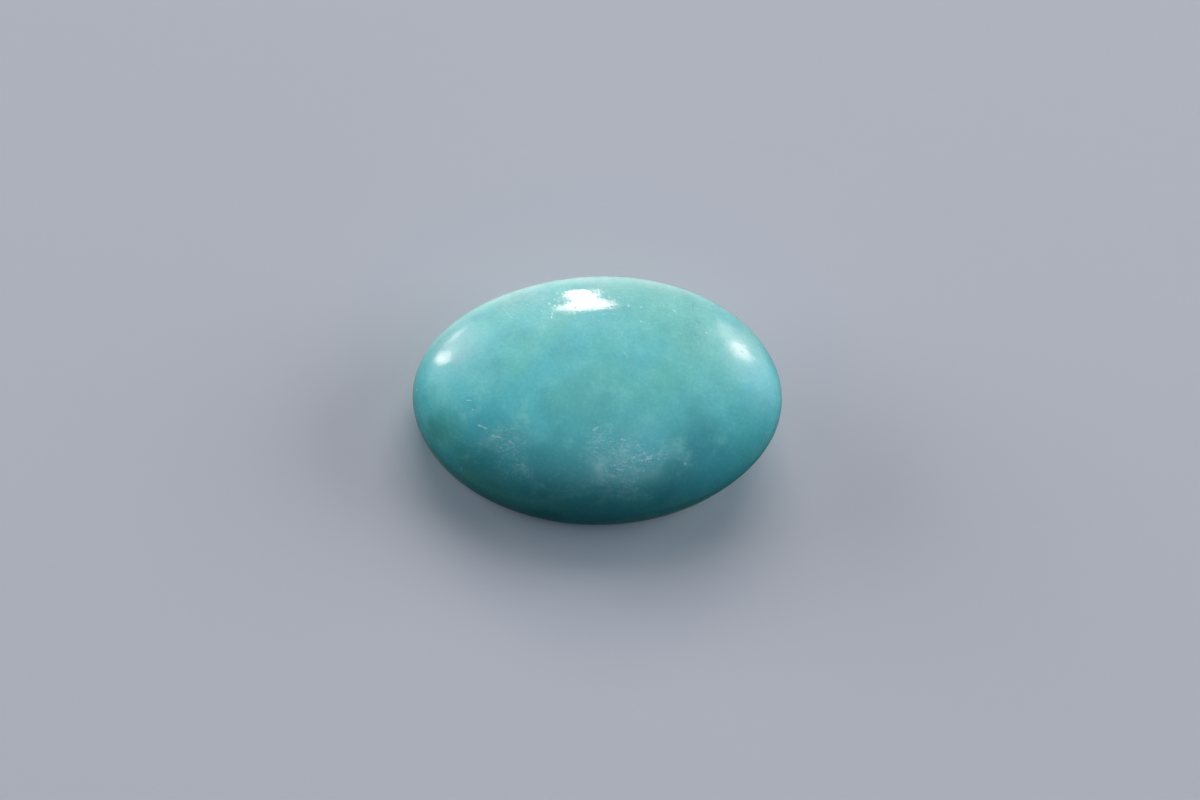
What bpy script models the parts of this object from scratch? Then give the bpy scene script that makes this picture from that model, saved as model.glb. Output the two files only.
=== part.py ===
"""A polished turquoise cabochon: an oval stone with a full dome, a thick wall and a flat back.

It lies on its back with the dome up. X runs along the stone, Y across it and Z up, and the
origin is on the surface it lies on, under the middle of the stone. Lengths are in metres.
"""

import math

import bmesh
import bpy
from mathutils import Matrix, Vector

# The girdle is the widest line round the stone, where the dome meets the wall.
LENGTH = 0.0180
WIDTH = 0.0120
DOME_HEIGHT = 0.0040
DOME_FULLNESS = 0.76        # 1.0 is a plain half ellipse, less gives fuller shoulders
WALL_HEIGHT = 0.0034        # from the girdle to the back, at the middle of the stone

# The back was ground by hand: smaller than the girdle, a little off centre and not parallel
# to it, so that the wall is taller at the right end of the stone than at the left.
BACK_LENGTH = 0.0166
BACK_WIDTH = 0.0110
BACK_SHIFT_X = -0.00018
BACK_SHIFT_Y = 0.00013
BACK_OUT_OF_LEVEL = 0.00078   # how much taller the wall is at the right tip than at the middle
BACK_EDGE_RADIUS = 0.00035
WALL_BULGE = 1.5              # 1.0 is a straight slope from girdle to back, more is rounder

# The outline isn't a true oval: it has shallow waves, so many round the stone, each with
# its depth as a share of the radius and the direction of its first hollow in degrees.
OUTLINE_WAVES = ((3, 0.006, 2.0), (4, 0.005, 25.0))

TURNED_STEPS = 96
DOME_STEPS = 15
WALL_STEPS = 5
EDGE_STEPS = 3

NODE_NAME = "turquoise_stone"
WELD_DISTANCE = 1.0e-7


def clear_scene():
    for thing in list(bpy.data.objects):
        bpy.data.objects.remove(thing, do_unlink=True)


def turquoise_material():
    material = bpy.data.materials.new("polished_turquoise")
    material.use_nodes = True
    shader = material.node_tree.nodes["Principled BSDF"]
    shader.inputs["Base Color"].default_value = (0.114, 0.470, 0.480, 1.0)
    shader.inputs["Roughness"].default_value = 0.22
    shader.inputs["Metallic"].default_value = 0.0
    return material


def blank_profile():
    """Half a section of the round blank, from the top of the dome down to the back."""
    radius = LENGTH / 2
    points = []
    for step in range(DOME_STEPS):
        from_girdle = 1.0 - step / DOME_STEPS
        angle = math.pi / 2 * (1.0 - from_girdle ** 2)
        points.append((radius * math.sin(angle), DOME_HEIGHT * math.cos(angle) ** DOME_FULLNESS))

    wall_bottom = WALL_HEIGHT - BACK_EDGE_RADIUS
    for step in range(WALL_STEPS + 1):
        points.append((radius, -wall_bottom * step / WALL_STEPS))

    for step in range(1, EDGE_STEPS + 1):
        angle = math.pi / 2 * step / EDGE_STEPS
        inset = BACK_EDGE_RADIUS * (1.0 - math.cos(angle))
        points.append((radius - inset, -wall_bottom - BACK_EDGE_RADIUS * math.sin(angle)))

    points.append((0.0, -WALL_HEIGHT))
    return points


def turned_blank(name):
    """The round blank: the profile turned about Z by a Screw modifier, as one closed mesh."""
    points = [(x, 0.0, z) for x, z in blank_profile()]
    edges = [(index, index + 1) for index in range(len(points) - 1)]
    profile_mesh = bpy.data.meshes.new(name + "_profile")
    profile_mesh.from_pydata(points, edges, [])
    profile = bpy.data.objects.new(name + "_profile", profile_mesh)
    bpy.context.scene.collection.objects.link(profile)

    screw = profile.modifiers.new("turning", 'SCREW')
    screw.axis = 'Z'
    screw.angle = 2 * math.pi
    screw.steps = TURNED_STEPS
    screw.render_steps = TURNED_STEPS
    screw.use_merge_vertices = True
    screw.merge_threshold = WELD_DISTANCE

    turned = profile.evaluated_get(bpy.context.evaluated_depsgraph_get())
    blank = bpy.data.meshes.new_from_object(turned)
    blank.name = name
    bpy.data.objects.remove(profile, do_unlink=True)
    bpy.data.meshes.remove(profile_mesh)
    return blank


def outline_wave(angle):
    wave = 1.0
    for count, depth, first_hollow in OUTLINE_WAVES:
        wave -= depth * math.cos(count * (angle - math.radians(first_hollow)))
    return wave


def mix(start, end, share):
    return start + (end - start) * share


def hand_ground(point):
    """Where a point of the round blank ends up on the finished oval stone."""
    girdle_radius = LENGTH / 2
    share_of_radius = math.hypot(point.x, point.y) / girdle_radius
    angle = math.atan2(point.y, point.x)
    wave = mix(1.0, outline_wave(angle), share_of_radius)
    share_of_wall = min(max(-point.z / WALL_HEIGHT, 0.0), 1.0)
    towards_back = share_of_wall ** WALL_BULGE

    half_length = mix(LENGTH, BACK_LENGTH, towards_back) / 2
    half_width = mix(WIDTH, BACK_WIDTH, towards_back) / 2
    x = BACK_SHIFT_X * towards_back + share_of_radius * wave * half_length * math.cos(angle)
    y = BACK_SHIFT_Y * towards_back + share_of_radius * wave * half_width * math.sin(angle)
    z = point.z
    if z < 0.0:
        z *= 1.0 + BACK_OUT_OF_LEVEL / WALL_HEIGHT * x / girdle_radius
    return Vector((x, y, z))


def laid_on_its_back(points):
    """Turns the stone about Y until its back is level, and sets it over the origin."""
    back_slope = math.atan2(BACK_OUT_OF_LEVEL, LENGTH / 2)
    turn = Matrix.Rotation(-back_slope, 3, 'Y')
    turned = [turn @ point for point in points]
    low = Vector(min(point[axis] for point in turned) for axis in range(3))
    high = Vector(max(point[axis] for point in turned) for axis in range(3))
    origin = Vector(((low.x + high.x) / 2, (low.y + high.y) / 2, low.z))
    return [point - origin for point in turned]


def make_stone(collection):
    mesh = turned_blank(NODE_NAME)
    finished = laid_on_its_back([hand_ground(vertex.co) for vertex in mesh.vertices])
    for vertex, place in zip(mesh.vertices, finished):
        vertex.co = place

    shape = bmesh.new()
    shape.from_mesh(mesh)
    bmesh.ops.remove_doubles(shape, verts=shape.verts, dist=WELD_DISTANCE)
    bmesh.ops.recalc_face_normals(shape, faces=shape.faces)
    shape.to_mesh(mesh)
    shape.free()

    mesh.shade_smooth()
    mesh.set_sharp_from_angle(angle=math.radians(50))
    mesh.materials.append(turquoise_material())
    stone = bpy.data.objects.new(NODE_NAME, mesh)
    collection.objects.link(stone)
    return stone


def build_part():
    clear_scene()
    collection = bpy.data.collections.new("turquoise_cabochon")
    bpy.context.scene.collection.children.link(collection)
    make_stone(collection)


build_part()
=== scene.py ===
# %% [markdown]
# # A polished turquoise cabochon
# A cabochon is a stone that is ground to a dome and polished, with no flat facets on the side that
# shows. This one is an oval of opaque turquoise, 18 mm long. It was shaped by hand against turning
# wheels, so it is nearly, but not quite, regular. The lesson builds it in the order in which it was
# made: the blank, the oval, the uneven hand work, the polish, and then the colour of the stone.

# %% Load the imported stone
import math

import bpy
from mathutils import Matrix, Vector


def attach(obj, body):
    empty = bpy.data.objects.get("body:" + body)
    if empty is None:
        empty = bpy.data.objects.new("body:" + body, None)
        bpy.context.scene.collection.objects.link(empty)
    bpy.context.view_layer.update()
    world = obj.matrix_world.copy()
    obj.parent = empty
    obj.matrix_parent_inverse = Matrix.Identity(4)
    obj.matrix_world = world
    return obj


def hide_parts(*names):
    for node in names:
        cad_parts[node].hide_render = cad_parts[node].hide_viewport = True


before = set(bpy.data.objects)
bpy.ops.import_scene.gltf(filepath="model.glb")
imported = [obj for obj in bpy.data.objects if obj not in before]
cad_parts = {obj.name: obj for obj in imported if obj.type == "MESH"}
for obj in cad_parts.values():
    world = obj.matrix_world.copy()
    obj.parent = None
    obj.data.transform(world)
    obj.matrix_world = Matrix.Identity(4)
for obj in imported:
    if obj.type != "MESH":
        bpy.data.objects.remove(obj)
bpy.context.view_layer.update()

# %% [markdown]
# ## The measures
# Every size is a length in metres with a name. The girdle is the widest line round the stone. The
# dome rises above it and the wall goes down from it to the flat back, which is a little smaller than
# the girdle, a little off centre, and not parallel to it: the wall is taller at the right end.

# %% The measures of the stone
MM = 0.001
LENGTH = 18.0 * MM
WIDTH = 12.0 * MM
DOME_HEIGHT = 4.0 * MM
DOME_FULLNESS = 0.76
WALL_HEIGHT = 3.4 * MM
WALL_BULGE = 1.5
BACK_LENGTH = 16.6 * MM
BACK_WIDTH = 11.0 * MM
BACK_SHIFT_X = -0.18 * MM
BACK_SHIFT_Y = 0.13 * MM
BACK_OUT_OF_LEVEL = 0.78 * MM
BACK_EDGE_RADIUS = 0.35 * MM
# how many waves round the outline, how deep as a share of the radius, and where the first hollow is
OUTLINE_WAVES = ((3, 0.006, 2.0), (4, 0.005, 25.0))

# %% [markdown]
# ## The blank
# The section of the stone is a line from the top of the dome, over the shoulder, down the wall and
# in along the back. It could be drawn as a curve, or cut from a sphere. Here it is drawn as by hand
# in edit mode: a plane is merged to one vertex, the vertex is extruded point by point along the
# section, and the line is spun once round Z, as a stone turns on its stick against the wheel. The
# points are close together, because a polished surface shows every facet in its reflections.

# %% The section, as points from the top of the dome to the middle of the back
DOME_POINTS = 110
WALL_POINTS = 22
EDGE_POINTS = 8
BACK_RINGS = (0.97, 0.8, 0.5, 0.2, 0.0)


def section_points():
    """Half a section of the blank, from the top of the dome down the wall to the middle of the back."""
    radius = LENGTH / 2
    points = []
    for step in range(DOME_POINTS):
        from_girdle = 1.0 - step / DOME_POINTS
        angle = math.pi / 2 * (1.0 - from_girdle ** 2)
        height_here = DOME_HEIGHT * math.cos(angle) ** DOME_FULLNESS
        points.append(Vector((radius * math.sin(angle), 0.0, height_here)))
    wall_bottom = BACK_EDGE_RADIUS - WALL_HEIGHT
    for step in range(WALL_POINTS + 1):
        points.append(Vector((radius, 0.0, wall_bottom * step / WALL_POINTS)))
    for step in range(1, EDGE_POINTS + 1):
        angle = math.pi / 2 * step / EDGE_POINTS
        inset = BACK_EDGE_RADIUS * (1.0 - math.cos(angle))
        points.append(Vector((radius - inset, 0.0, wall_bottom - BACK_EDGE_RADIUS * math.sin(angle))))
    for share in BACK_RINGS:
        points.append(Vector(((radius - BACK_EDGE_RADIUS) * share, 0.0, -WALL_HEIGHT)))
    return points


section = section_points()
print("points on the section:", len(section))

# %% Draw the section and spin it
TURNED_STEPS = 384
WELD_DISTANCE = 1.0e-7

bpy.ops.object.select_all(action='DESELECT')
bpy.ops.mesh.primitive_plane_add(size=MM, location=(0.0, 0.0, 0.0))
stone = bpy.context.object
stone.name = "polished_turquoise_stone"
bpy.ops.object.mode_set(mode='EDIT')
bpy.ops.mesh.merge(type='CENTER')
bpy.ops.transform.translate(value=section[0])
for here, there in zip(section, section[1:]):
    bpy.ops.mesh.extrude_region_move(TRANSFORM_OT_translate={"value": there - here})
bpy.ops.mesh.select_all(action='SELECT')
bpy.ops.mesh.spin(steps=TURNED_STEPS, angle=math.tau, center=(0.0, 0.0, 0.0), axis=(0.0, 0.0, 1.0))
bpy.ops.mesh.select_all(action='SELECT')
bpy.ops.mesh.remove_doubles(threshold=WELD_DISTANCE)
bpy.ops.mesh.normals_make_consistent(inside=False)
bpy.ops.object.mode_set(mode='OBJECT')
print("turned blank:", len(stone.data.vertices), "points,", len(stone.data.polygons), "faces")

# %% [markdown]
# ## The hand work
# The round blank is now brought to the oval and made as uneven as a hand leaves it. No single
# operator leans a wall by a rule, so each point is moved in code: squeezed across, drawn in towards
# the back, and let in and out round the outline by a few shallow waves. At last the whole stone is
# turned until its back is level, and set down over the origin.


# %% Bring the blank to the uneven oval
def mix(start, end, share):
    return start + (end - start) * share


def outline_wave(angle):
    """How far out the outline lies at an angle, as a share of the plain oval."""
    wave = 1.0
    for count, depth, first_hollow in OUTLINE_WAVES:
        wave -= depth * math.cos(count * (angle - math.radians(first_hollow)))
    return wave


def hand_ground(point):
    """Where a point of the round blank goes on the oval, uneven stone."""
    girdle_radius = LENGTH / 2
    share_of_radius = math.hypot(point.x, point.y) / girdle_radius
    angle = math.atan2(point.y, point.x)
    wave = mix(1.0, outline_wave(angle), share_of_radius)
    towards_back = min(max(-point.z / WALL_HEIGHT, 0.0), 1.0) ** WALL_BULGE
    half_length = mix(LENGTH, BACK_LENGTH, towards_back) / 2
    half_width = mix(WIDTH, BACK_WIDTH, towards_back) / 2
    x = BACK_SHIFT_X * towards_back + share_of_radius * wave * half_length * math.cos(angle)
    y = BACK_SHIFT_Y * towards_back + share_of_radius * wave * half_width * math.sin(angle)
    z = point.z
    if z < 0.0:
        z *= 1.0 + BACK_OUT_OF_LEVEL / WALL_HEIGHT * x / girdle_radius
    return Vector((x, y, z))


def laid_on_its_back(points):
    """The points turned until the back is level, and set down over the origin."""
    back_slope = math.atan2(BACK_OUT_OF_LEVEL, LENGTH / 2)
    turn = Matrix.Rotation(-back_slope, 3, 'Y')
    turned = [turn @ point for point in points]
    low = Vector(min(point[axis] for point in turned) for axis in range(3))
    high = Vector(max(point[axis] for point in turned) for axis in range(3))
    origin = Vector(((low.x + high.x) / 2, (low.y + high.y) / 2, low.z))
    return [point - origin for point in turned]


places = laid_on_its_back([hand_ground(vertex.co) for vertex in stone.data.vertices])
for vertex, place in zip(stone.data.vertices, places):
    vertex.co = place
stone.data.update()
print("oval stone, mm:", [round(1000 * side, 2) for side in stone.dimensions])

# %% [markdown]
# ## The polished face
# A wheel and a hand leave a face that is smooth but never true. Its long, very low waves bend the
# reflections of the lights, which is how an eye tells stone from plastic. They are made as real
# relief by a Displace modifier, limited to the dome and the wall by a vertex group, so that the
# back stays flat.

# %% Low waves of the hand polish
POLISHED_ABOVE = 1.0 * MM
CREASE_ANGLE = math.radians(60)
# wave length and height
WAVES = (
    (1.9 * MM, 0.008 * MM),
    (0.75 * MM, 0.003 * MM),
)

polished = stone.vertex_groups.new(name="polished")
for vertex in stone.data.vertices:
    above_back = vertex.co.z / POLISHED_ABOVE
    polished.add([vertex.index], min(max(above_back, 0.0), 1.0), 'REPLACE')

bpy.context.view_layer.objects.active = stone
for wave_length, wave_height in WAVES:
    waves = bpy.data.textures.new("low_waves", 'CLOUDS')
    waves.noise_scale = wave_length
    waves.noise_depth = 1
    relief = stone.modifiers.new("low waves", 'DISPLACE')
    relief.texture = waves
    relief.texture_coords = 'LOCAL'
    relief.vertex_group = polished.name
    relief.mid_level = 0.5
    relief.strength = wave_height
    bpy.ops.object.modifier_apply(modifier=relief.name)
bpy.ops.object.select_all(action='DESELECT')
stone.select_set(True)
bpy.ops.object.shade_smooth_by_angle(angle=CREASE_ANGLE)
print("polished stone, mm:", [round(1000 * side, 2) for side in stone.dimensions])

# %% [markdown]
# ## The colour of the stone
# Turquoise is opaque and waxy. Copper makes it blue and iron makes it green, and both drift through
# the stone in soft clouds a few millimetres wide. Plain noise alone would give clouds in any place,
# and a painted picture would be tied to one view. So each cloud is a soft spot with a name, a tint
# and a place on the stone, its edge is stirred by noise, and noise adds the finer mottling. Not all
# clouds are colour: the dark clouds along the front and on the front wall are painted shade, and the
# milky clouds at the shoulders and along the edge behind are painted sheen.

# %% Helpers for the material's nodes
turquoise = bpy.data.materials.new("waxy_turquoise")
turquoise.use_nodes = True
tree = turquoise.node_tree
shader = tree.nodes["Principled BSDF"]


def give(socket, value):
    """Links a socket to a socket, or sets it to a plain value."""
    if isinstance(value, bpy.types.NodeSocket):
        tree.links.new(value, socket)
    else:
        socket.default_value = value


def node(kind, settings=None, **sockets):
    """Adds a node, with its settings by name and its sockets by name or, as _0, _1, by number."""
    made = tree.nodes.new(kind)
    for name, value in (settings or {}).items():
        setattr(made, name, value)
    for name, value in sockets.items():
        key = int(name[1:]) if name[0] == "_" else name.replace("_", " ")
        give(made.inputs[key], value)
    return made


def math_of(operation, first, second=0.0):
    return node('ShaderNodeMath', {"operation": operation}, _0=first, _1=second).outputs[0]


def ramp(value, start, end, low=0.0, high=1.0):
    """A smooth rise from low to high while the value goes from start to end."""
    made = node('ShaderNodeMapRange', {"interpolation_type": 'SMOOTHSTEP'},
                Value=value, From_Min=start, From_Max=end, To_Min=low, To_Max=high)
    return made.outputs[0]


def tint(share, under, over, blend='MIX'):
    made = node('ShaderNodeMix', {"data_type": 'RGBA', "blend_type": blend})
    give(made.inputs["Factor"], share)
    give(made.inputs[6], under)
    give(made.inputs[7], over)
    return made.outputs[2]


def noise(place, size_mm, detail=2.0, roughness=0.5):
    """Soft noise whose blots are about size_mm across. The coordinates it reads are in millimetres."""
    return node('ShaderNodeTexNoise', Vector=place, Scale=1.0 / size_mm, Detail=detail, Roughness=roughness)


# %% Coordinates in millimetres, and the same ones gently stirred
def shifted(place, by, amount, size_mm, detail=2.0):
    """The same places, each moved by soft noise, so that what is drawn on them gets natural edges."""
    swirl = noise(place, size_mm, detail).outputs["Color"]
    swirl = node('ShaderNodeVectorMath', {"operation": 'SUBTRACT'}, _0=swirl, _1=(0.5, 0.5, 0.5)).outputs[0]
    swirl = node('ShaderNodeVectorMath', {"operation": 'SCALE'}, _0=swirl, Scale=amount).outputs[0]
    return node('ShaderNodeVectorMath', {"operation": 'ADD'}, _0=by, _1=swirl).outputs[0]


coordinates = node('ShaderNodeTexCoord').outputs["Object"]
in_mm = node('ShaderNodeMapping', Vector=coordinates, Scale=(1 / MM, 1 / MM, 1 / MM)).outputs[0]
stirred = shifted(in_mm, in_mm, amount=2.6, size_mm=1.9, detail=4.0)


# %% A place on the stone
def on_stone(x, y, height=None):
    """The place over x and y on the dome or, with a height, a place in the wall, in millimetres."""
    if height is not None:
        return (x, y, height)
    above = Vector((x * MM, y * MM, LENGTH))
    found, point, normal, face = stone.ray_cast(above, Vector((0.0, 0.0, -1.0)))
    if not found:
        raise ValueError(f"there is no stone under {x}, {y}")
    return tuple(point / MM)


bpy.context.view_layer.update()
print("height of the dome over the origin, mm:", round(on_stone(0.0, 0.0)[2], 2))

# %% Tints of the clouds, and of painted shade and painted sheen
BLUE = (0.066, 0.520, 0.575, 1.0)
GREEN = (0.090, 0.515, 0.450, 1.0)
# DEEP and OLIVE are the stone's own darker tints; some clouds below also use them as painted shade along
# the front
DEEP = (0.048, 0.385, 0.412, 1.0)
PALE = (0.175, 0.640, 0.610, 1.0)
OLIVE = (0.060, 0.280, 0.230, 1.0)
DEEP_BLUE = (0.036, 0.425, 0.530, 1.0)
MINT = (0.150, 0.515, 0.430, 1.0)
# painted shade: a dark tint for the front wall, which is turned away from the lights
PAINTED_WALL_SHADE_TINT = (0.012, 0.350, 0.400, 1.0)
# painted shade: a dark tint for the front of the dome, which is turned away from the lights
PAINTED_FRONT_SHADE_TINT = (0.016, 0.265, 0.315, 1.0)
DARK_OLIVE = (0.035, 0.190, 0.135, 1.0)
# painted sheen: a pale tint that stands for the gloss of the bright room at the shoulders and the edge
# behind
PAINTED_SHEEN_TINT = (0.270, 0.545, 0.540, 1.0)

# %% Clouds of blue and green, and clouds of painted shade and painted sheen
# name, tint, strength, radius, and the place of the middle
CLOUDS = (
    ("green at the left shoulder", GREEN, 0.6, 1.5, (-5.6, 2.9)),
    ("green left of the middle", GREEN, 0.8, 1.4, (-4.2, 1.4)),
    ("green in front of it", GREEN, 0.7, 1.4, (-5.0, -0.1)),
    ("green in the middle", GREEN, 0.8, 2.0, (-0.7, -0.9)),
    ("green behind the middle", GREEN, 0.7, 2.0, (2.2, 2.2)),
    ("green right of the middle", GREEN, 0.8, 1.5, (2.4, -1.1)),
    ("green to the right", GREEN, 0.6, 2.2, (4.4, 0.2)),
    ("blue at the left", BLUE, 0.9, 2.0, (-7.1, -0.5)),
    ("blue left of the middle", BLUE, 0.8, 1.3, (-3.0, 0.2)),
    ("blue behind", BLUE, 0.7, 1.3, (-0.8, 2.3)),
    ("blue at the crown", BLUE, 0.6, 1.2, (1.4, 0.9)),
    ("blue to the right", BLUE, 0.8, 1.3, (5.2, -1.2)),
    ("blue in front", BLUE, 0.8, 1.3, (2.9, -2.6)),
    ("blue at the front left", BLUE, 0.7, 1.8, (-3.0, -3.2)),
    ("deep blue at the right tip", DEEP_BLUE, 0.5, 2.0, (7.2, -2.1)),
    ("dark in the middle", DEEP, 0.45, 1.7, (-0.9, -1.3)),
    # painted shade: dark clouds along the front darken the side that is turned from the lights
    ("painted shade, green, in front", OLIVE, 0.36, 2.1, (4.0, -3.3)),
    ("painted shade at the right of the front", DEEP, 0.75, 2.0, (4.4, -3.7)),
    ("olive at the left tip", OLIVE, 0.65, 1.1, (-8.0, -2.2)),
    ("dark left of the worn place", DEEP, 0.60, 1.1, (-6.4, -2.9)),
    # painted shade along the front
    ("painted shade, teal, at the front left", PAINTED_FRONT_SHADE_TINT, 0.95, 1.6, (-6.2, -3.4)),
    ("painted shade, teal, left of the front", PAINTED_FRONT_SHADE_TINT, 0.75, 1.8, (-4.1, -4.3)),
    ("painted shade, teal, below the middle", PAINTED_FRONT_SHADE_TINT, 0.95, 1.8, (-2.5, -5.0)),
    ("painted shade, teal, at the front right", PAINTED_FRONT_SHADE_TINT, 0.90, 1.9, (4.0, -4.0)),
    ("saturated blue at the left", DEEP_BLUE, 0.70, 1.6, (-6.3, -2.3)),
    ("pale at the left tip", PALE, 0.50, 1.3, (-8.4, -0.3)),
    ("pale left of the middle", PALE, 0.30, 1.4, (-6.0, 0.4)),
    ("saturated blue at the middle left", BLUE, 0.80, 1.8, (-4.2, -1.4)),
    ("green behind the crown", GREEN, 0.60, 1.3, (-0.1, 1.5)),
    ("mint behind the crown", MINT, 0.45, 1.3, (-2.2, 3.3)),
    ("mint at the right", MINT, 0.45, 1.6, (4.4, 1.2)),
    ("green near the right end", GREEN, 0.70, 1.2, (5.5, -0.4)),
    ("mint near the right shoulder", MINT, 0.40, 1.3, (6.4, 1.3)),
    # painted shade along the front
    ("painted shade right of the worn front", DEEP, 0.70, 1.1, (3.3, -3.9)),
    # painted shade: the wall in front and at the right is darkened in its colour, where it is turned from
    # the lights
    ("painted shade on the front wall", PAINTED_WALL_SHADE_TINT, 0.75, 1.3, (0.3, -5.9, 1.9)),
    ("painted shade on the front wall, left", PAINTED_WALL_SHADE_TINT, 0.6, 1.3, (-2.6, -5.6, 1.9)),
    ("painted shade on the front wall, right", PAINTED_WALL_SHADE_TINT, 0.6, 1.3, (3.2, -5.3, 2.2)),
    ("painted shade on the wall at the right", PAINTED_WALL_SHADE_TINT, 0.6, 1.4, (5.8, -4.2, 2.5)),
    ("painted shade on the wall at the right end", PAINTED_WALL_SHADE_TINT, 0.5, 1.2, (7.6, -2.8, 2.9)),
    ("olive spot at the left tip", DARK_OLIVE, 0.7, 0.42, (-8.45, -1.75, 4.15)),
    # painted shade: more dark clouds along the front, where the stone is turned from the lights
    ("painted shade at the front left", OLIVE, 0.45, 1.6, (-6.3, -3.9)),
    ("painted shade below the middle", DEEP, 0.45, 1.8, (-1.6, -4.3)),
    ("painted shade in front", DEEP, 0.85, 2.7, (-0.3, -4.4)),
    ("painted shade at the left of the front", DEEP, 0.85, 1.8, (-5.3, -3.6)),
    ("painted shade, teal, low in front", PAINTED_FRONT_SHADE_TINT, 0.70, 1.8, (-0.3, -5.3)),
    ("painted shade, teal, low on the right", PAINTED_FRONT_SHADE_TINT, 0.85, 1.7, (2.6, -5.2)),
    ("painted shade, teal, right of the worn front", PAINTED_FRONT_SHADE_TINT, 0.70, 1.4, (4.0, -4.1)),
    ("painted shade, teal, low on the left", PAINTED_FRONT_SHADE_TINT, 0.50, 1.3, (-6.1, -3.8)),
    ("blue at the left shoulder", BLUE, 0.75, 1.6, (-6.9, 2.2)),
    ("pale to the right", PALE, 0.35, 1.3, (4.6, -0.9)),
    # painted sheen: pale where the polish mirrors the bright room
    ("painted sheen at the left shoulder", PAINTED_SHEEN_TINT, 0.75, 1.6, (-7.2, 2.1)),
    ("painted sheen at the right shoulder", PAINTED_SHEEN_TINT, 0.45, 1.5, (7.0, 1.7)),
    ("mint at the back right", MINT, 0.55, 2.6, (4.6, 3.6)),
    ("mint behind", MINT, 0.70, 2.8, (0.4, 5.0)),
    # painted sheen along the edge behind, where the polish mirrors the bright room at a grazing angle
    ("painted sheen on the edge behind, left", PAINTED_SHEEN_TINT, 0.6, 1.5, (-4.2, 4.6)),
    ("painted sheen on the edge behind", PAINTED_SHEEN_TINT, 0.6, 1.5, (-0.6, 5.6)),
    ("painted sheen on the edge behind, right", PAINTED_SHEEN_TINT, 0.5, 1.5, (3.2, 5.3)),
    ("blue at the left end of the wall", BLUE, 0.8, 1.6, (-8.6, -0.6, 3.2)),
    ("blue at the front right", DEEP_BLUE, 0.7, 2.6, (5.6, -4.4, 4.6)),
    ("blue along the front wall", DEEP_BLUE, 0.6, 2.6, (1.2, -5.8, 3.0)),
)


def distance(name, place, middle):
    """How far each place is from the middle of a soft spot."""
    away = node('ShaderNodeVectorMath', {"operation": 'DISTANCE', "label": name},
                _0=place, _1=on_stone(*middle))
    return away.outputs["Value"]


# where a cloud begins and where it is at its full strength, as shares of its radius
CLOUD_EDGE = 1.35
CLOUD_HEART = 0.10
drift = noise(in_mm, size_mm=4.0).outputs[0]
colour = tint(ramp(drift, 0.35, 0.65), BLUE, GREEN)
for name, cloud_tint, strength, radius, middle in CLOUDS:
    away = distance(name, stirred, middle)
    share = ramp(away, CLOUD_EDGE * radius, CLOUD_HEART * radius, 0.0, strength)
    colour = tint(share, colour, cloud_tint)
print("clouds:", len(CLOUDS))

# %% Fine mottling, from soft clouds down to the grain
MOTTLE_SHARE = 0.75
DARK_GRAIN_SHARE = 0.24
PALE_GRAIN_SHARE = 0.16
mottle = noise(in_mm, size_mm=1.5, detail=7.0, roughness=0.70).outputs[0]
grain = noise(in_mm, size_mm=0.17, detail=3.0, roughness=0.7).outputs[0]
colour = tint(ramp(mottle, 0.52, 0.28, 0.0, MOTTLE_SHARE), colour, DEEP)
colour = tint(ramp(mottle, 0.48, 0.74, 0.0, MOTTLE_SHARE), colour, PALE)
colour = tint(ramp(grain, 0.56, 0.36, 0.0, DARK_GRAIN_SHARE), colour, DEEP)
colour = tint(ramp(grain, 0.50, 0.66, 0.0, PALE_GRAIN_SHARE), colour, PALE)
print("nodes so far:", len(tree.nodes))

# %% [markdown]
# ## Wear of the polish
# Stones rub against each other. Where they do, hair-fine scratches lie side by side, the gloss is
# broken and the stone looks chalky. Single scratches would be too many to place. So the worn places
# are soft spots again, and fine streaks, drawn out along the length of the stone as the last wheel
# ran, break them up. The chalky tint is partly painted reflection: its pale flecks also stand for
# glints of a window in the broken gloss.

# %% Worn places
# name, strength, radius, and the place of the middle
WORN = (
    ("left of the front", 0.9, 0.85, (-4.9, -3.2)),
    ("in front of it", 0.8, 1.1, (-4.7, -4.4)),
    ("front, inner end", 0.9, 1.15, (-0.3, -3.6)),
    ("front", 1.0, 1.1, (1.4, -4.1)),
    ("front, right end", 1.0, 0.6, (2.2, -3.9)),
    ("low in front", 0.9, 1.2, (0.5, -5.1)),
)
# places where only the mirror finish is gone
DULLED = (
    ("right shoulder", 1.0, 1.6, (6.4, 1.6)),
    ("right shoulder, lower", 0.7, 1.4, (7.0, 0.2)),
    ("left shoulder", 0.8, 1.0, (-7.7, 1.5)),
)
WORN_EDGE = 1.2
WORN_HEART = 0.5


def spots(places, place):
    """The strongest of some soft spots at each place."""
    strongest = None
    for name, strength, radius, middle in places:
        away = distance(name, place, middle)
        spot = ramp(away, WORN_EDGE * radius, WORN_HEART * radius, 0.0, strength)
        strongest = spot if strongest is None else math_of('MAXIMUM', strongest, spot)
    return strongest


loose = shifted(in_mm, in_mm, amount=1.4, size_mm=1.1, detail=5.0)
worn = spots(WORN, loose)
dulled = spots(DULLED, loose)
print("worn and dulled places:", len(WORN) + len(DULLED))

# %% Streaks, grit and chalk in the worn places, with painted glints
# partly painted reflection: the pale flecks of chalk also stand for glints of the front window
CHALK_AND_GLINT_TINT = (0.32, 0.62, 0.74, 1.0)
CHALK_SHARE = 0.75
WHEEL_DIRECTION = math.radians(-8)

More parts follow.
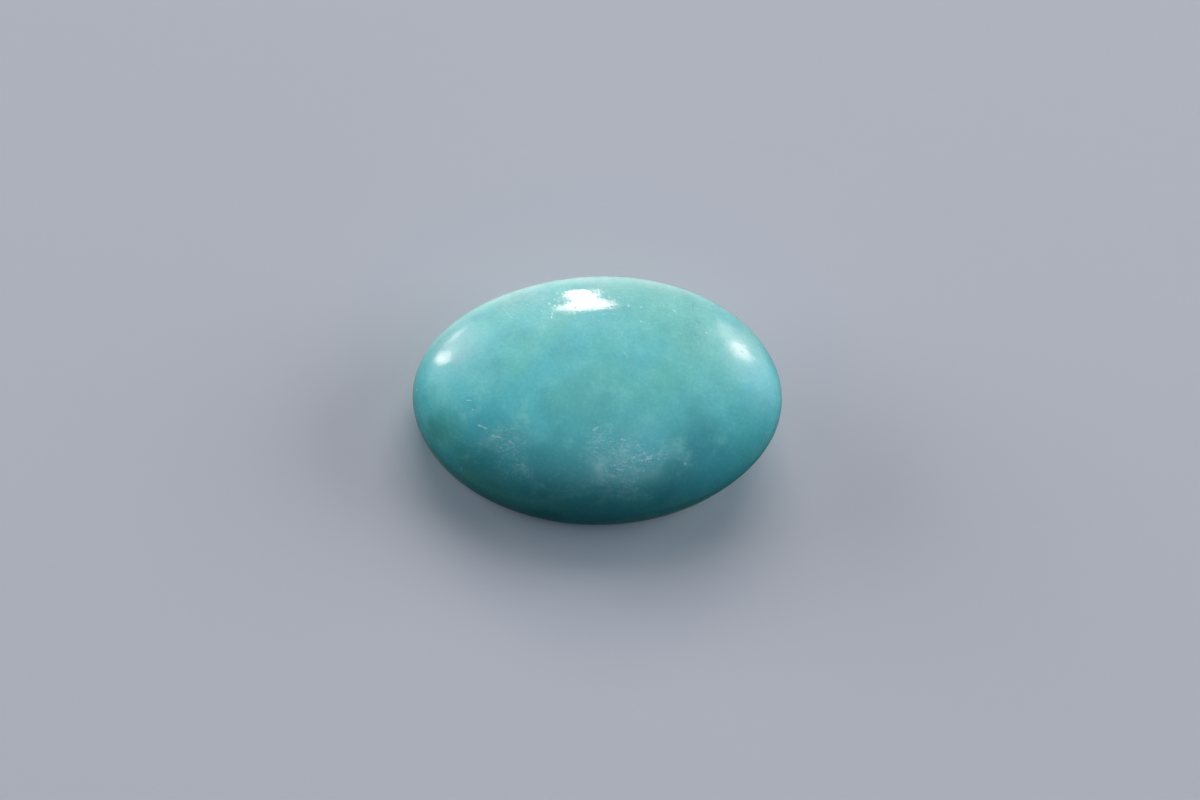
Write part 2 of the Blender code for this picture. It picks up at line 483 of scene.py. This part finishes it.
drawn_out = node('ShaderNodeMapping', Vector=in_mm,
                 Rotation=(0.0, 0.0, WHEEL_DIRECTION), Scale=(0.35, 1.0, 1.0))
streaks = noise(drawn_out.outputs[0], size_mm=0.11, detail=5.0, roughness=0.75).outputs[0]
patchy = noise(in_mm, size_mm=0.55, detail=4.0, roughness=0.6).outputs[0]
grit = noise(in_mm, size_mm=0.11, detail=4.0, roughness=0.75).outputs[0]
frosted = ramp(math_of('MULTIPLY', streaks, grit), 0.23, 0.36)
chalk_and_glint_share = math_of('MULTIPLY', frosted, ramp(patchy, 0.36, 0.62, 0.15, 1.0))
chalk_and_glint_share = math_of('MULTIPLY', chalk_and_glint_share, worn)
colour = tint(math_of('MULTIPLY', chalk_and_glint_share, CHALK_SHARE), colour, CHALK_AND_GLINT_TINT)
print("chalk over the worn places, at most:", CHALK_SHARE)

# %% [markdown]
# ## Scratches and specks
# A few deeper scratches, one dark hair-line and some white crumbs of the soft rock that once held the
# stone are placed one by one. They could be cut into the mesh, but they are finer than its faces. So
# each is a short line in the material: a small node group measures how far a place is from such a
# line, and serves them all. Soft noise bends the lines and makes them skip, as on a hard stone.

# %% A node group: distance to a short straight line
# The heights count for little, so that a line is met on the curved dome too.
SEEN_FROM_ABOVE = (1.0, 1.0, 0.15)
line_group = bpy.data.node_groups.new("distance_to_scratch", 'ShaderNodeTree')
for socket_name in ("Place", "Start", "End"):
    line_group.interface.new_socket(socket_name, in_out='INPUT', socket_type='NodeSocketVector')
line_group.interface.new_socket("Distance", in_out='OUTPUT', socket_type='NodeSocketFloat')

stone_tree = tree
tree = line_group
line_in = node('NodeGroupInput')
line_out = node('NodeGroupOutput')
from_start = node('ShaderNodeVectorMath', {"operation": 'SUBTRACT'},
                  _0=line_in.outputs["Place"], _1=line_in.outputs["Start"]).outputs[0]
whole = node('ShaderNodeVectorMath', {"operation": 'SUBTRACT'},
             _0=line_in.outputs["End"], _1=line_in.outputs["Start"]).outputs[0]
along = node('ShaderNodeVectorMath', {"operation": 'DOT_PRODUCT'}, _0=from_start, _1=whole).outputs["Value"]
length_squared = node('ShaderNodeVectorMath', {"operation": 'DOT_PRODUCT'},
                      _0=whole, _1=whole).outputs["Value"]
share = node('ShaderNodeClamp', Value=math_of('DIVIDE', along, length_squared)).outputs[0]
nearest = node('ShaderNodeVectorMath', {"operation": 'SCALE'}, _0=whole, Scale=share).outputs[0]
aside = node('ShaderNodeVectorMath', {"operation": 'SUBTRACT'}, _0=from_start, _1=nearest).outputs[0]
flat = node('ShaderNodeVectorMath', {"operation": 'MULTIPLY'}, _0=aside, _1=SEEN_FROM_ABOVE).outputs[0]
apart = node('ShaderNodeVectorMath', {"operation": 'LENGTH'}, _0=flat).outputs["Value"]
give(line_out.inputs["Distance"], apart)
tree = stone_tree

# %% Scratches and specks, each in its place
WHITE = (0.66, 0.80, 0.80, 1.0)
FIBRE = (0.05, 0.13, 0.13, 1.0)
# strength, half width, and the places of the two ends
PALE_SCRATCHES = (
    (0.33, 0.038, (-4.89, 3.73), (-4.62, 3.03)),
    (0.45, 0.035, (0.58, 0.88), (0.75, 0.57)),
    (0.18, 0.040, (-6.12, -0.30), (-5.96, -0.34)),
    (0.85, 0.045, (-6.88, -1.10), (-6.72, -1.14)),
    (0.60, 0.040, (-6.66, -1.58), (-6.60, -1.60)),
    (0.75, 0.042, (-6.36, -2.34), (-6.02, -2.55)),
    (0.55, 0.050, (-5.72, -2.92), (-5.35, -3.05)),
    (0.55, 0.050, (-4.98, -3.22), (-4.72, -3.42)),
    (0.45, 0.045, (-4.55, -4.28), (-4.25, -4.32)),
    (0.55, 0.050, (-1.02, -2.95), (-0.78, -2.86)),
    (0.50, 0.045, (0.35, -3.42), (0.55, -3.44)),
    (0.45, 0.050, (1.55, -4.30), (1.85, -4.22)),
)
HAIR_LINES = (
    (0.8, 0.026, (4.35, 3.84), (4.27, 3.37)),
)
# strength, half width, and the place
SPECKS = (
    (0.9, 0.075, (3.54, -4.34)),
    (0.7, 0.060, (1.32, -5.84, 2.42)),
    (0.6, 0.060, (-6.89, -3.75, 3.32)),
    (0.7, 0.070, (-8.93, 0.14, 3.56)),
    (0.8, 0.080, (8.62, -2.40, 4.60)),
)
SCRATCH_HEART = 0.2


def marks(table, mark_tint, under):
    """Draws a table of scratches or specks over what is under them. A speck's two ends are one."""
    for strength, half_width, *ends in table:
        line = node('ShaderNodeGroup', {"node_tree": line_group},
                    Place=wavy, Start=on_stone(*ends[0]), End=on_stone(*ends[-1]))
        drawn = ramp(line.outputs[0], half_width, SCRATCH_HEART * half_width, 0.0, strength)
        under = tint(math_of('MULTIPLY', drawn, skipping), under, mark_tint)
    return under


wavy = shifted(in_mm, in_mm, amount=0.16, size_mm=0.25, detail=3.0)
skipping = ramp(grit, 0.40, 0.58, 0.35, 1.0)
colour = marks(PALE_SCRATCHES, WHITE, colour)
colour = marks(SPECKS, WHITE, colour)
colour = marks(HAIR_LINES, FIBRE, colour)
print("marks on the stone:", len(PALE_SCRATCHES) + len(SPECKS) + len(HAIR_LINES))

# %% [markdown]
# ## The finest relief
# Under a lens the polish is not a perfect mirror. There are pits a few thousandths of a millimetre
# deep where grains broke out, a fine grit, and fine furrows where the stone is worn. They could be
# displaced, but they are far smaller than the faces of the mesh. So they are a bump in the material,
# measured in microns, which breaks up the edges of the reflections.

# %% Pits
PIT_SPACING = 0.22
PIT_RADIUS = 0.34       # as a share of the spacing
CELLS_WITHOUT_PIT = 0.45
pits = node('ShaderNodeTexVoronoi', Vector=in_mm, Scale=1 / PIT_SPACING)
pit_number = node('ShaderNodeSeparateColor', Color=pits.outputs["Color"]).outputs[0]
pit_kept = math_of('GREATER_THAN', pit_number, CELLS_WITHOUT_PIT)
out_of_pit = math_of('POWER', math_of('DIVIDE', pits.outputs["Distance"], PIT_RADIUS), 2.0)
pit = math_of('MULTIPLY', math_of('MAXIMUM', math_of('SUBTRACT', 1.0, out_of_pit)), pit_kept)
print("pits, millimetres across:", round(2 * PIT_RADIUS * PIT_SPACING, 2))

# %% Relief too fine for the mesh, in microns
MICRON = 0.000001
GRIT_DEPTH = 2.6
WORN_GRIT_DEPTH = 5.0
DULLED_GRIT_DEPTH = 4.0
FURROW_DEPTH = 5.0
PIT_DEPTH = 3.0
DEEPER_BEHIND = 12.0
TOWARDS_THE_BACK_RIGHT = (0.35, 1.0, 0.0)

rough_places = math_of('ADD', math_of('MULTIPLY', worn, WORN_GRIT_DEPTH),
                       math_of('MULTIPLY', dulled, DULLED_GRIT_DEPTH))
furrows = math_of('MULTIPLY', streaks, math_of('MULTIPLY', worn, FURROW_DEPTH))
relief = math_of('ADD', math_of('MULTIPLY', grit, math_of('ADD', rough_places, GRIT_DEPTH)), furrows)
behind = node('ShaderNodeVectorMath', {"operation": 'DOT_PRODUCT'},
              _0=in_mm, _1=TOWARDS_THE_BACK_RIGHT).outputs["Value"]
deeper = math_of('MULTIPLY', ramp(behind, 2.4, 3.8), ramp(pit_number, 0.60, 1.0, 0.0, DEEPER_BEHIND))
pitted = math_of('SUBTRACT', relief, math_of('MULTIPLY', pit, math_of('ADD', deeper, PIT_DEPTH)))
bump = node('ShaderNodeBump', Strength=1.0, Distance=MICRON, Height=pitted)
give(shader.inputs["Coat Normal"], bump.outputs[0])
give(shader.inputs["Normal"], bump.outputs[0])
print("deepest pit, microns:", PIT_DEPTH + DEEPER_BEHIND)

# %% [markdown]
# ## The finish
# A waxed and polished stone has one surface, but it acts as two: its body scatters the light and
# gives the colour, and its skin mirrors. One roughness can't be both, so the polish is a clear coat
# over a dull body. The coat is rougher where the stone is worn, in the pits and on the grit, and it
# is partly gone where the wear broke it.

# %% Finish of the polish
WORN_ROUGHNESS = 0.09
DULLED_ROUGHNESS = 0.02
PIT_ROUGHNESS = 0.30
GRIT_ROUGHNESS = 0.13

dull = math_of('ADD', math_of('MULTIPLY', worn, WORN_ROUGHNESS),
               math_of('MULTIPLY', dulled, DULLED_ROUGHNESS))
unpolished = math_of('MAXIMUM', math_of('MULTIPLY', pit, PIT_ROUGHNESS),
                     ramp(grit, 0.52, 0.66, 0.0, GRIT_ROUGHNESS))
dull = math_of('ADD', dull, unpolished)
broken = math_of('MULTIPLY', ramp(math_of('ADD', streaks, grit), 1.12, 0.88, 0.0, 0.9), worn)

# %% [markdown]
# ## The back
# The back was ground flat and left as it was, because it is glued into its setting. It has no gloss,
# and pale stone dust sits in the marks of the grinding. It needs no material of its own: the height
# above the table tells the back from the polished wall.

# %% The ground back, which was never polished
BACK_DUST = (0.16, 0.50, 0.52, 1.0)
POLISHED_ROUGHNESS = 0.05
GROUND_ROUGHNESS = 0.4
COAT_SHARE = 0.6
# heights above the table in millimetres: all ground, all polished, and how ragged the edge between is
ALL_GROUND = 0.05
ALL_POLISHED = 0.12
RAGGED_EDGE = 0.06

height = node('ShaderNodeSeparateXYZ', Vector=in_mm).outputs["Z"]
ragged = math_of('ADD', height, math_of('MULTIPLY', patchy, RAGGED_EDGE))
ground = ramp(ragged, ALL_POLISHED, ALL_GROUND)
colour = tint(math_of('MULTIPLY', ground, ramp(streaks, 0.35, 0.75, 0.25, 0.75)), colour, BACK_DUST)
coat_roughness = math_of('ADD', math_of('ADD', dull, POLISHED_ROUGHNESS),
                         math_of('MULTIPLY', ground, GROUND_ROUGHNESS))
coat_weight = math_of('MULTIPLY', math_of('SUBTRACT', 1.0, math_of('MAXIMUM', broken, ground)), COAT_SHARE)

# %% Everything goes to the shader
STONE_IOR = 1.5
BODY_ROUGHNESS = 0.60
give(shader.inputs["Base Color"], colour)
give(shader.inputs["Coat Roughness"], coat_roughness)
give(shader.inputs["Coat Weight"], coat_weight)
shader.inputs["IOR"].default_value = STONE_IOR
shader.inputs["Roughness"].default_value = BODY_ROUGHNESS
shader.inputs["Coat IOR"].default_value = STONE_IOR
stone.data.materials.append(turquoise)
print("nodes in the stone's material:", len(turquoise.node_tree.nodes))

# %% [markdown]
# ## The stone as a part
# The finished stone takes the place of the plain solid that came with the frame. It rides on the
# only body there is, the root.

# %% The stone takes the place of the plain solid
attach(stone, "root")
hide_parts("turquoise_stone")

# %% [markdown]
# ## The table
# The stone lies on its back on a plain pale table. A disc much wider than the view is enough. The
# table is dull, and the stone does not mirror it, so that the lights alone shape the gloss.

# %% Table
TABLE_RADIUS = 3.0
TABLE_CORNERS = 96
TABLE_TONE = (0.56, 0.585, 0.63, 1.0)
TABLE_ROUGHNESS = 0.6

bpy.ops.object.select_all(action='DESELECT')
bpy.ops.mesh.primitive_circle_add(vertices=TABLE_CORNERS, radius=TABLE_RADIUS, fill_type='NGON')
table = bpy.context.object
table.name = "pale_table"
table_finish = bpy.data.materials.new("pale_table_finish")
table_finish.use_nodes = True
table_shader = table_finish.node_tree.nodes["Principled BSDF"]
table_shader.inputs["Base Color"].default_value = TABLE_TONE
table_shader.inputs["Roughness"].default_value = TABLE_ROUGHNESS
table_shader.inputs["Specular IOR Level"].default_value = 0.0
table.data.materials.append(table_finish)
table.visible_diffuse = False
table.visible_glossy = False
print("table, metres across:", 2 * TABLE_RADIUS)

# %% [markdown]
# ## The lights
# A single soft light would shade the stone well, but its mirror image would be one plain blot. So
# two kinds of light are used. Small bright lamps and pale windows are seen only in the gloss, and
# draw the highlights: one behind the stone, one on each side, and tall windows in front. Wide panels
# light only the body, from behind and from both sides, so that the front falls into soft shade. With
# the two kinds apart, the shape of a highlight can be changed without changing the shading.

# %% A light on a dome round the stone
AIM = Vector((0.0, 0.0, 4.0 * MM))


def direction(azimuth, elevation):
    """A unit vector: azimuth in degrees from +Y towards +X, elevation above the table."""
    a = math.radians(azimuth)
    e = math.radians(elevation)
    return Vector((math.sin(a) * math.cos(e), math.cos(a) * math.cos(e), math.sin(e)))


def soft_light(name, azimuth, elevation, away, width, tall, brightness, tone, roll=0.0, spread=180.0):
    """A light that faces the stone. Its brightness is per area, so its size can change alone."""
    data = bpy.data.lights.new(name, 'AREA')
    data.shape = 'RECTANGLE'
    data.size = width
    data.size_y = tall
    data.energy = brightness * width * tall * math.pi
    data.color = tone
    data.spread = math.radians(spread)
    lamp = bpy.data.objects.new(name, data)
    bpy.context.scene.collection.objects.link(lamp)
    towards = direction(azimuth, elevation)
    lamp.location = AIM + towards * away
    lamp.rotation_mode = 'QUATERNION'
    turned = Matrix.Rotation(math.radians(roll), 3, 'Z').to_quaternion()
    lamp.rotation_quaternion = towards.to_track_quat('Z', 'Y') @ turned
    lamp.visible_camera = False
    return lamp


# %% Tones of light
WARM = (1.0, 0.82, 0.78)
WARMISH = (1.13, 1.0, 1.0)
WINDOW = (0.78, 0.92, 1.0)
COOL = (0.92, 0.98, 1.06)
COOLER = (0.70, 0.93, 1.15)

# %% Lamps and windows, seen in the gloss
GLOSS_DISTANCE = 0.50
WIDE_OPEN = 180.0
NARROWED = 80.0
# name, azimuth, elevation, width, height, brightness, roll
LAMPS = (
    ("back_lamp", 1.4, 13.0, 0.042, 0.200, 36.0, 0.0),
    ("back_lamp_end", 1.1, 26.0, 0.098, 0.078, 36.0, 26.0),
    ("right_lamp", 49.0, 22.0, 0.075, 0.140, 21.0, 5.0),
    ("right_strip", 38.5, 16.0, 0.010, 0.240, 26.0, 3.0),
    ("left_lamp", -48.0, 6.0, 0.062, 0.230, 20.0, -4.0),
)
# name, azimuth, elevation, width, height, brightness, roll, spread
WINDOWS = (
    ("right_window", 60.0, 32.0, 0.130, 0.280, 1.20, 0.0, WIDE_OPEN),
    ("front_window", 168.0, 45.0, 0.180, 0.700, 0.85, -5.0, NARROWED),
    ("front_window_edge", 149.0, 52.0, 0.045, 0.200, 2.80, -5.0, WIDE_OPEN),
    ("left_window", -131.0, 45.0, 0.120, 0.400, 0.30, 0.0, NARROWED),
)
for name, azimuth, elevation, width, tall, brightness, roll in LAMPS:
    lamp = soft_light(name, azimuth, elevation, GLOSS_DISTANCE, width, tall, brightness, WARM, roll)
    lamp.data.shape = 'ELLIPSE'
    lamp.visible_diffuse = False
for name, azimuth, elevation, width, tall, brightness, roll, spread in WINDOWS:
    lamp = soft_light(name, azimuth, elevation, GLOSS_DISTANCE, width, tall, brightness, WINDOW,
                      roll, spread)
    lamp.visible_diffuse = False
print("lamps and windows:", len(LAMPS) + len(WINDOWS))

# %% Panels, which light the body
PANEL_DISTANCE = 0.60
PANEL_WIDTH = 0.45
# name, azimuth, elevation, width, height, brightness, tone
PANELS = (
    ("back_panel", 0.0, 52.0, PANEL_WIDTH, 0.45, 2.65, WARMISH),
    ("left_panel", -72.0, 19.0, PANEL_WIDTH, 0.40, 3.15, COOL),
    ("right_panel", 80.0, 28.0, PANEL_WIDTH, 0.40, 2.85, COOL),
    ("front_panel", 170.0, 45.0, PANEL_WIDTH, 0.40, 0.20, COOLER),
    ("low_panel", 132.0, 8.0, 0.40, 0.25, 0.60, COOLER),
)
for name, azimuth, elevation, width, tall, brightness, tone in PANELS:
    panel = soft_light(name, azimuth, elevation, PANEL_DISTANCE, width, tall, brightness, tone)
    panel.visible_glossy = False
print("panels:", len(PANELS))

# %% [markdown]
# ## The room
# A room gives a glossy stone more to mirror than its lamps. Walls could be built, but they would
# shade the lights. So the world round the stone is painted with soft glows, which stand for pale
# walls and ceiling, and only the gloss sees them. A faint even light fills the shade, and a plain
# tone is seen beyond the table.

# %% The room
BACKDROP_TONE = (0.40, 0.43, 0.47, 1.0)
ROOM_FILL = 0.09
GLOW_TONE = (0.97, 1.0, 1.0, 1.0)
# name, brightness, narrowness, and where: azimuth and elevation
REFLECTED_GLOWS = (
    ("left wall", 3.4, 10.0, -42.0, 10.0),
    ("right wall", 2.7, 10.0, 57.0, 10.0),
    ("low behind", 2.6, 8.0, 2.0, -25.0),
    ("low at the left", 0.3, 14.0, -72.0, -42.0),
    ("low at the right", 0.4, 14.0, 82.0, -22.0),
    ("high behind, left", 1.2, 8.0, -20.0, 30.0),
    ("high at the left", 1.1, 8.0, -60.0, 30.0),
    ("high at the right", 1.9, 8.0, 60.0, 30.0),
    ("ceiling", 1.2, 8.0, 0.0, 80.0),
    ("glint at the left", 8.0, 300.0, -31.0, -3.0),
)

world = bpy.data.worlds.new("studio")
world.use_nodes = True
tree = world.node_tree
ray = node('ShaderNodeLightPath')
towards = node('ShaderNodeTexCoord').outputs["Generated"]
glow = 0.0
for name, brightness, narrowness, azimuth, elevation in REFLECTED_GLOWS:
    facing = node('ShaderNodeVectorMath', {"operation": 'DOT_PRODUCT', "label": name},
                  _0=towards, _1=direction(azimuth, elevation))
    lobe = math_of('POWER', math_of('MAXIMUM', facing.outputs["Value"]), narrowness)
    glow = math_of('ADD', math_of('MULTIPLY', lobe, brightness), glow)
reflected = node('ShaderNodeBackground', Color=GLOW_TONE, Strength=glow)
above_table = ramp(node('ShaderNodeSeparateXYZ', Vector=towards).outputs["Z"], -0.2, 0.1, 0.0, ROOM_FILL)
fill = node('ShaderNodeBackground', Color=(*COOLER, 1.0), Strength=above_table)
room = node('ShaderNodeMixShader',
            _0=ray.outputs["Is Glossy Ray"], _1=fill.outputs[0], _2=reflected.outputs[0])
backdrop = node('ShaderNodeBackground', Color=BACKDROP_TONE, Strength=1.0)
seen = node('ShaderNodeMixShader',
            _0=ray.outputs["Is Camera Ray"], _1=room.outputs[0], _2=backdrop.outputs[0])
tree.links.new(seen.outputs[0], tree.nodes["World Output"].inputs["Surface"])
bpy.context.scene.world = world
print("glows:", len(REFLECTED_GLOWS))

# %% [markdown]
# ## The camera
# A short lens close by would swell the middle of so small a stone. So the camera looks down at it
# from above its front through a long lens, and leans to one side until the stone lies level in the
# frame. It is placed as the lights are, by its direction and its distance.

# %% Camera
CAMERA_AZIMUTH = -30.0
CAMERA_ELEVATION = 66.53
CAMERA_ROLL = 29.12
CAMERA_DISTANCE = 0.370
CAMERA_LENS = 227.8
SENSOR_WIDTH = 36.0
NEAREST_SEEN = 0.01
FURTHEST_SEEN = 10.0
CAMERA_AIM = Vector((0.22 * MM, 0.04 * MM, 3.0 * MM))

camera = bpy.data.objects.new("camera", bpy.data.cameras.new("camera"))
bpy.context.scene.collection.objects.link(camera)
back = direction(180.0 - CAMERA_AZIMUTH, CAMERA_ELEVATION)
camera.location = CAMERA_AIM + back * CAMERA_DISTANCE
level = back.to_track_quat('Z', 'Y')
roll = Matrix.Rotation(math.radians(CAMERA_ROLL), 3, 'Z').to_quaternion()
camera.rotation_mode = 'QUATERNION'
camera.rotation_quaternion = level @ roll
camera.data.lens = CAMERA_LENS
camera.data.sensor_width = SENSOR_WIDTH
camera.data.clip_start = NEAREST_SEEN
camera.data.clip_end = FURTHEST_SEEN
bpy.context.scene.camera = camera
bpy.context.scene.view_settings.view_transform = 'Standard'
print("camera, mm from the stone:", round(1000 * CAMERA_DISTANCE))

# %% [markdown]
# ## The sizes, and the end
# The stone must keep the size of the imported solid, whatever was done to its surface. The last line
# prints the size of the dressed stone.

# %% Sizes
print("dressed stone, mm:", [round(1000 * side, 2) for side in stone.dimensions])
